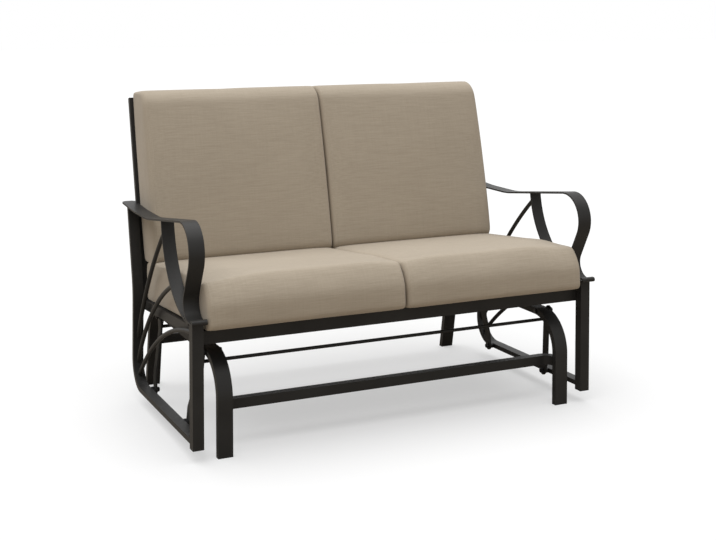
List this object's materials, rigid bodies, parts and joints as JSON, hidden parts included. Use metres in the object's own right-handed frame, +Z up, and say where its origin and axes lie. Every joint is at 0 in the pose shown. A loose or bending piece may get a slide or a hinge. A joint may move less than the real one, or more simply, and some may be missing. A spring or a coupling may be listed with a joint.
{
  "type": "glider bench",
  "caption": "Two-seat outdoor glider bench: steel seat frame hung on links from a low arched base, with loose seat and back cushions.",
  "frame": {"origin": "bottom centre of the bounding box, on the floor", "axes": "+Z up, -Y towards the front where the sitters' feet are, +X to the right seen from the front"},
  "size_m": [1.2826, 0.8072, 0.9568],
  "materials": {
    "frame_paint": "satin dark bronze powder coat",
    "outdoor_fabric": "matt taupe woven cloth over foam",
    "cap_plastic": "moulded black plastic",
    "fastener_steel": "black plated steel"
  },
  "bodies": {
    "base": {"left_base_arch": "frame_paint", "right_base_arch": "frame_paint", "arch_foot_caps": "cap_plastic", "front_cross_tube": "frame_paint", "rear_cross_tube": "frame_paint", "hanger_bolts": "fastener_steel", "hanger_spacers": "fastener_steel", "hanger_washers": "fastener_steel", "hanger_nuts": "fastener_steel"},
    "front_links": {"left_front_link": "frame_paint", "right_front_link": "frame_paint", "front_tie_rod": "frame_paint"},
    "rear_links": {"left_rear_link": "frame_paint", "right_rear_link": "frame_paint", "rear_tie_rod": "frame_paint"},
    "seat": {"left_front_post": "frame_paint", "right_front_post": "frame_paint", "left_side_tube": "frame_paint", "right_side_tube": "frame_paint", "left_arm_strap": "frame_paint", "right_arm_strap": "frame_paint", "left_brace_strap": "frame_paint", "right_brace_strap": "frame_paint", "left_upper_bar": "frame_paint", "right_upper_bar": "frame_paint", "left_middle_bar": "frame_paint", "right_middle_bar": "frame_paint", "left_lower_bar": "frame_paint", "right_lower_bar": "frame_paint", "left_seat_side_rail": "frame_paint", "right_seat_side_rail": "frame_paint", "left_back_post": "frame_paint", "right_back_post": "frame_paint", "left_seat_cushion": "outdoor_fabric", "right_seat_cushion": "outdoor_fabric", "left_back_cushion": "outdoor_fabric", "right_back_cushion": "outdoor_fabric", "seat_front_rail": "frame_paint", "seat_rear_rail": "frame_paint", "seat_slats": "frame_paint", "back_lower_rail": "frame_paint", "back_top_rail": "frame_paint", "back_slats": "frame_paint", "post_foot_caps": "cap_plastic", "back_post_bolts": "fastener_steel", "lower_studs": "fastener_steel", "lower_stud_washers": "fastener_steel", "lower_stud_nuts": "fastener_steel"}
  },
  "joints": [
    {"name": "front_link_swing", "type": "hinge", "parent": "base", "child": "front_links", "pos_m": [0, -0.25306, 0.26585], "axis": [1, 0, 0], "range_deg": [-9, 9]},
    {"name": "seat_glide", "type": "hinge", "parent": "front_links", "child": "seat", "pos_m": [0, -0.18936, 0.05318], "axis": [1, 0, 0], "range_deg": [-12, 12]},
    {"name": "rear_link_swing", "type": "hinge", "parent": "base", "child": "rear_links", "pos_m": [0, 0.18004, 0.26585], "axis": [1, 0, 0], "range_deg": [-9, 9]}
  ],
  "couplings": [
    {"joint": "seat_glide", "follows": "front_link_swing", "ratio": -1.273},
    {"joint": "rear_link_swing", "follows": "front_link_swing", "ratio": 0.972}
  ]
}
